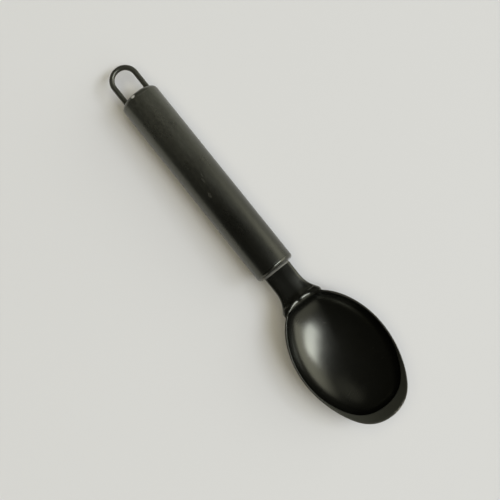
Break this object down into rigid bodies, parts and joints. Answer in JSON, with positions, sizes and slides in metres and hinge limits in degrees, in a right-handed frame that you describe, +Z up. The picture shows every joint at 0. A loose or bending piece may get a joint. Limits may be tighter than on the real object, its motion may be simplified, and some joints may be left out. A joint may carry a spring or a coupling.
{
  "type": "ice cream spoon",
  "caption": "Ice cream spoon with an oval bowl, a wide scraping lip, a flared neck, a round tube handle and a wire loop to hang it by.",
  "frame": {"origin": "middle of the spoon's box, on the flat surface that it lies on", "axes": "+X along the spoon towards the bowl's tip, +Y across it to the left, +Z up; the handle rises towards the bowl as it lies"},
  "size_m": [0.2216, 0.048, 0.0229],
  "materials": {
    "gloss_coat": "smooth half-gloss black coating on cast metal",
    "satin_coat": "satin black coating on steel"
  },
  "bodies": {
    "root": {"spoon_head": "gloss_coat", "handle_tube": "satin_coat", "front_cap": "satin_coat", "rear_cap": "satin_coat", "hanging_loop": "satin_coat"}
  },
  "joints": []
}
